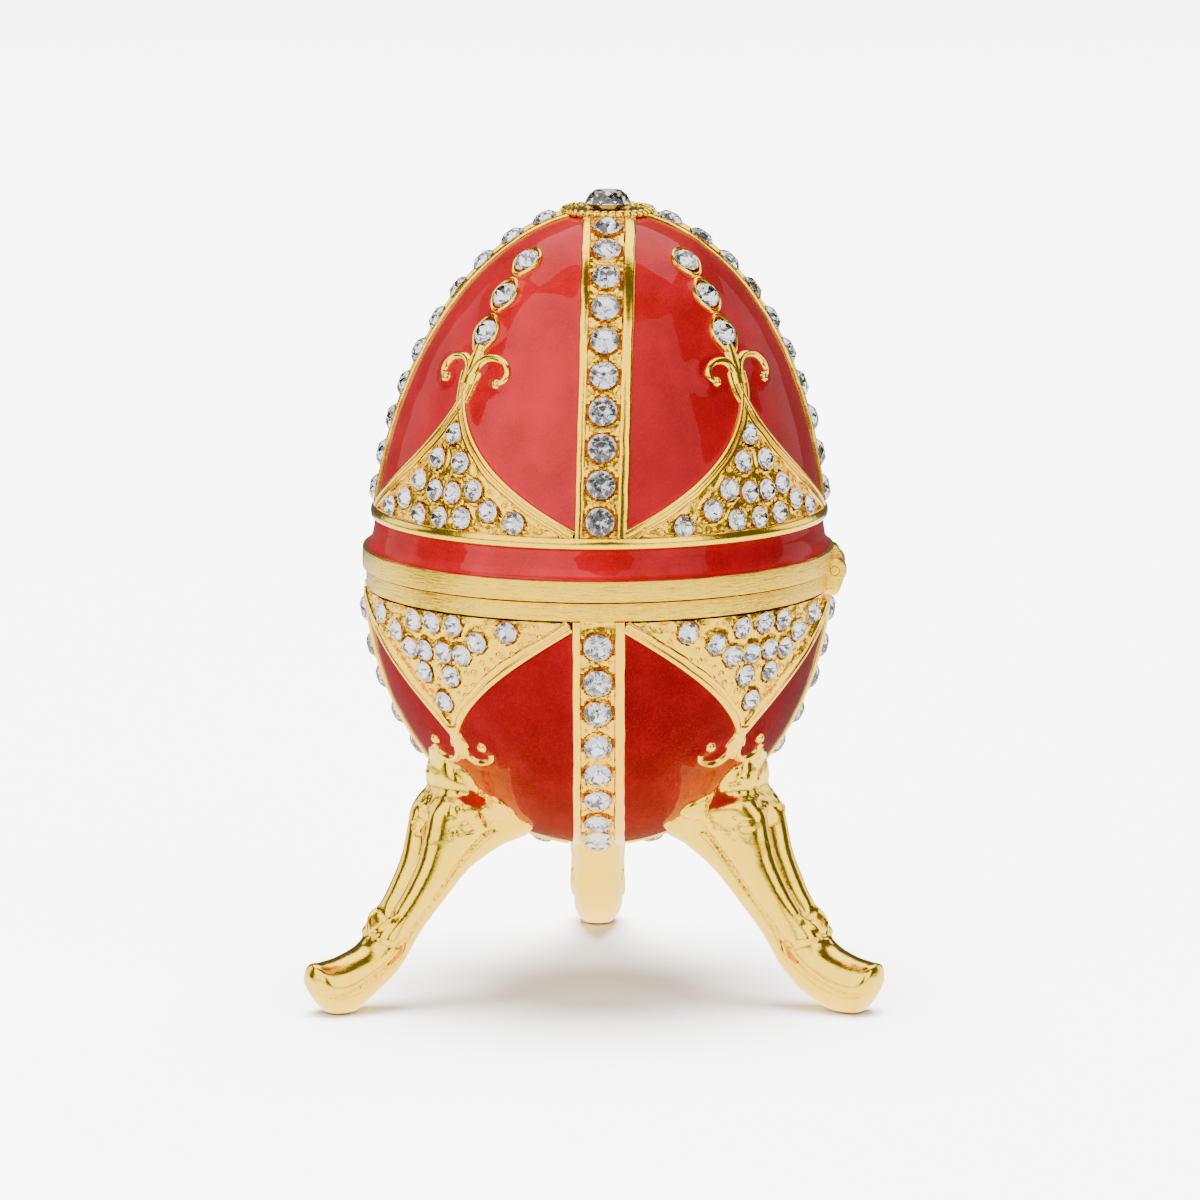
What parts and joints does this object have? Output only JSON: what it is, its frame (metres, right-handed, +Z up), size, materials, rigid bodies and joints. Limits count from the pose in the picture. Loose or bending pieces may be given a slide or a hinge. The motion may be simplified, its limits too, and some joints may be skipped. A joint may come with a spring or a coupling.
{
  "type": "jewelled egg trinket box",
  "caption": "Egg-shaped trinket box in red enamel and gold-coloured metal, set with clear stones, with a side-hinged hollow lid and splayed cast legs, for keeping small jewellery.",
  "frame": {"origin": "on the table, under the middle of the whole object", "axes": "+Z up along the egg, the front faces -Y, the hinge is at +X and one leg points to +Y"},
  "size_m": [0.0492, 0.048, 0.068],
  "materials": {
    "enamel": "glossy translucent enamel over gold-plated cast metal",
    "gold": "polished gold plating",
    "stone": "faceted foil-backed glass"
  },
  "bodies": {
    "box": {"bowl": "enamel", "hinge_pin": "gold", "leg_left": "gold", "leg_right": "gold", "leg_back": "gold"},
    "lid": {"lid": "enamel", "top_stone": "stone"}
  },
  "joints": [
    {"name": "lid_hinge", "type": "hinge", "parent": "box", "child": "lid", "pos_m": [0.02005, -0.00383, 0.03615], "axis": [0, 1, 0], "range_deg": [0, 95]}
  ]
}
